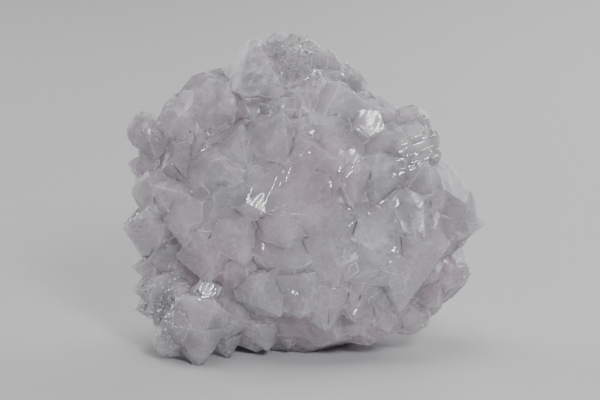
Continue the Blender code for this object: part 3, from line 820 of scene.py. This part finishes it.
# Broken flashing lines, in the photograph's pixels: both ends, width in millimetres, share left out
CHIP_LINES = (
    # up from the tip of the bright triangle, and the comb at its top
    (261, 214, 277, 176, 0.22, 0.15), (246, 202, 253, 189, 0.7, 0.2), (280, 186, 284, 170, 0.3, 0.3),
    (285, 182, 291, 168, 0.3, 0.3), (263, 241, 263, 253, 0.35, 0.1),
    # the lines on the striated plate at the upper right
    (398, 147, 436, 134, 0.3, 0.35), (401, 142, 421, 135, 0.25, 0.5), (396, 153, 424, 141, 0.35, 0.45),
    (404, 157, 434, 145, 0.25, 0.4), (394, 162, 418, 153, 0.45, 0.4), (402, 169, 424, 162, 0.25, 0.3),
    (408, 164, 438, 155, 0.4, 0.5), (391, 177, 404, 171, 0.5, 0.15), (398, 174, 422, 166, 0.3, 0.6),
    # beside the bright block right of the centre
    (338, 172, 345, 160, 0.6, 0.4), (347, 178, 356, 163, 0.5, 0.4), (329, 189, 332, 181, 0.5, 0.4),
    # faint streaks above the centre
    (293, 158, 327, 146, 0.25, 0.6), (196, 154, 204, 149, 0.3, 0.4), (310, 133, 314, 131, 0.6, 0.0),
    # the sparkling row on the round crystal
    (345, 207, 351, 209, 0.5, 0.3), (356, 210, 374, 214, 0.35, 0.6), (380, 203, 384, 201, 0.4, 0.0),
    (396, 207, 399, 200, 0.6, 0.0),
    # the lower left patch
    (196, 296, 203, 284, 0.35, 0.2), (201, 297, 208, 283, 0.3, 0.3), (207, 298, 213, 285, 0.35, 0.25),
    (212, 297, 218, 286, 0.3, 0.3), (198, 299, 217, 296, 0.4, 0.3),
    # strays lower down
    (349, 226, 353, 222, 0.4, 0.0), (352, 318, 356, 310, 0.4, 0.3), (294, 296, 298, 292, 0.4, 0.0),
    (456, 262, 463, 256, 0.5, 0.4), (330, 287, 336, 289, 0.4, 0.5),
)
CHIP_WANDER = 0.5  # how far a chip strays from its line, as a share of its width
CHIP_LEAN = 0.045  # and its face from the direction that flashes
CHIP_SEED = 11

# How much a chip's length and width vary, and how narrow one end is, as shares
CHIP_LENGTHS = (0.5, 1.5)
CHIP_WIDTHS = (0.3, 1.1)
CHIP_TAPERS = (0.2, 0.8)


def camera_place(studio):
    """Where the camera stands."""
    return at_pixel(*IMAGE_CENTRE) + studio.distance * OUT


def flash_place():
    """Where the light stands that the flat faces mirror towards the camera."""
    return FACE_MIDDLE + FLASH_DISTANCE * (2 * FLASH_FACE.dot(OUT) * FLASH_FACE - OUT)


def chip_spots(chance, longest):
    """The pixel, direction, length and width of each small face along the broken lines."""
    for x0, y0, x1, y1, width, gaps in CHIP_LINES:
        length = math.hypot(x1 - x0, y1 - y0) / PIXELS_PER_MM * MM
        count = max(1, math.ceil(length / longest))
        way = (at_pixel(x1, y1) - at_pixel(x0, y0)).normalized()
        for k in range(count):
            share = (k + 0.5) / count
            if chance.random() >= gaps:
                yield x0 + share * (x1 - x0), y0 + share * (y1 - y0), way, length / count, width * MM


def add_chip(bm, centre, normal, along, size, taper):
    """One small block with a flat cleavage face on top, narrower at one end."""
    length, width, depth = size
    turn = Matrix((along, normal.cross(along), normal)).transposed().to_4x4()
    shape = Matrix.Translation(centre) @ turn @ Matrix.Diagonal((length, width, depth, 1.0))
    made = bmesh.ops.create_cube(bm, size=1.0, matrix=shape)
    end = [vertex for vertex in made["verts"] if (vertex.co - centre).dot(along) > 0]
    middle = sum((vertex.co for vertex in end), Vector()) / len(end) + depth / 2 * normal
    bmesh.ops.scale(bm, verts=end, vec=(taper, taper, taper), space=Matrix.Translation(-middle))


class CALCITE_OT_chips(Operator):
    """Sets the small cleavage faces along the broken flashing lines"""

    bl_idname = "calcite.chips"
    bl_label = "Cleavage chips"

    def execute(self, context):
        chips = context.scene.chip_looks
        chance = random.Random(CHIP_SEED)
        eye = camera_place(context.scene.studio_setup)
        ground = bmesh.new()
        ground.from_mesh(bpy.data.objects["calcite"].data)
        surface = BVHTree.FromBMesh(ground)
        ground.free()
        bm = bmesh.new()
        for x, y, way, length, width in chip_spots(chance, chips.length):
            place = surface.ray_cast(eye, (at_pixel(x, y) - eye).normalized())[0]
            # A face flashes when it looks half-way between the camera and the light
            normal = ((eye - place).normalized() + (flash_place() - place).normalized()).normalized()
            lean = Vector([chance.uniform(-CHIP_LEAN, CHIP_LEAN) for _ in range(3)])
            normal = (normal + lean).normalized()
            along = (way - way.dot(normal) * normal).normalized()
            place = place + chance.uniform(-CHIP_WANDER, CHIP_WANDER) * width * normal.cross(along)
            size = (length * chance.uniform(*CHIP_LENGTHS), width * chance.uniform(*CHIP_WIDTHS), chips.depth)
            centre = place + (chips.proud - chips.depth / 2) * normal
            add_chip(bm, centre, normal, along, size, chance.uniform(*CHIP_TAPERS))
        piece = show("cleavage_chips", bm, chip_material(context.scene.calcite_looks))
        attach(piece, "root")
        return {"FINISHED"}


# The light that the flat faces mirror: width in metres and strength
FLASH_BOX = (0.12, 2.2)

# The other lights: name, place from the middle of the face in metres, width in metres and strength
LIGHTS = (
    ("overhead", (-0.1, 0.1, 0.9), 0.6, 5.5),
    ("left_rim", (-0.6, 0.35, 0.25), 0.4, 2.6),
    ("right_rim", (0.6, 0.4, 0.3), 0.4, 3.4),
    ("back_fill", (0.3, 0.9, 0.4), 0.6, 3.2),
    ("front_fill", (-0.35, -0.8, 0.35), 0.7, 1.2),
)
AIR_COLOUR = (0.8, 0.82, 0.85, 1.0)
AIR_STRENGTH = 0.14
FLOOR_HALF = 3.0
FLOOR_ROUGHNESS = 0.6


def soft_light(name, place, width, power):
    """A square area light pointed at the middle of the display face."""
    data = bpy.data.lights.new(name, "AREA")
    data.size = width
    data.energy = power
    lamp = bpy.data.objects.new(name, data)
    lamp.location = place
    lamp.rotation_euler = (place - FACE_MIDDLE).to_track_quat("Z", "Y").to_euler()
    bpy.context.scene.collection.objects.link(lamp)


def lay_floor(colour):
    """The plain pale floor."""
    bm = bmesh.new()
    bmesh.ops.create_grid(bm, x_segments=1, y_segments=1, size=FLOOR_HALF)
    material = bpy.data.materials.new("pale_floor")
    material.use_nodes = True
    shader = material.node_tree.nodes["Principled BSDF"]
    shader.inputs["Base Color"].default_value = rgb(colour)
    shader.inputs["Roughness"].default_value = FLOOR_ROUGHNESS
    show("floor", bm, material)


def fill_air(scene, power):
    """Faint light from all around."""
    world = bpy.data.worlds.new("studio_air")
    scene.world = world
    world.use_nodes = True
    air = world.node_tree.nodes["Background"].inputs
    air["Color"].default_value = AIR_COLOUR
    air["Strength"].default_value = AIR_STRENGTH * power


def set_camera(scene, studio):
    """The camera of the photograph."""
    data = bpy.data.cameras.new("camera")
    data.sensor_width = studio.sensor
    data.lens = studio.sensor * studio.distance / FRAME_WIDTH
    camera = bpy.data.objects.new("camera", data)
    camera.location = camera_place(studio)
    camera.rotation_euler = OUT.to_track_quat("Z", "Y").to_euler()
    scene.collection.objects.link(camera)
    scene.camera = camera


class CALCITE_OT_stage(Operator):
    """Sets up the floor, the lights and the camera"""

    bl_idname = "calcite.stage"
    bl_label = "Plain studio"

    def execute(self, context):
        studio = context.scene.studio_setup
        lay_floor(studio.floor)
        width, strength = FLASH_BOX
        soft_light("flash_box", flash_place(), width, strength * studio.light)
        for name, offset, width, strength in LIGHTS:
            soft_light(name, FACE_MIDDLE + Vector(offset), width, strength * studio.light)
        fill_air(context.scene, studio.light)
        set_camera(context.scene, studio)
        return {"FINISHED"}


class CALCITE_PT_panel(Panel):
    """Lists the specimen's pieces and settings"""

    bl_label = "Manganoan calcite"
    bl_idname = "CALCITE_PT_panel"
    bl_space_type = "VIEW_3D"
    bl_region_type = "UI"
    bl_category = "Calcite"

    def draw(self, context):
        scene = context.scene
        for settings, operator in (
            (scene.calcite_looks, CALCITE_OT_cluster),
            (scene.druse_looks, CALCITE_OT_druse),
            (scene.chip_looks, CALCITE_OT_chips),
            (scene.studio_setup, CALCITE_OT_stage),
        ):
            box = self.layout.box()
            for name in settings.__annotations__:
                box.prop(settings, name)
            box.operator(operator.bl_idname)


SETTINGS = {
    "calcite_looks": CalciteLooks,
    "druse_looks": DruseLooks,
    "chip_looks": ChipLooks,
    "studio_setup": StudioSetup,
}
CLASSES = (*SETTINGS.values(), CALCITE_OT_cluster, CALCITE_OT_druse, CALCITE_OT_chips, CALCITE_OT_stage,
           CALCITE_PT_panel)


def register():
    for each in CLASSES:
        bpy.utils.register_class(each)
    for name, kind in SETTINGS.items():
        setattr(bpy.types.Scene, name, PointerProperty(type=kind))


def unregister():
    for name in SETTINGS:
        delattr(bpy.types.Scene, name)
    for each in reversed(CLASSES):
        bpy.utils.unregister_class(each)


def main():
    register()
    bpy.ops.calcite.cluster()
    bpy.ops.calcite.druse()
    bpy.ops.calcite.chips()
    bpy.ops.calcite.stage()


if __name__ == "__main__":
    main()
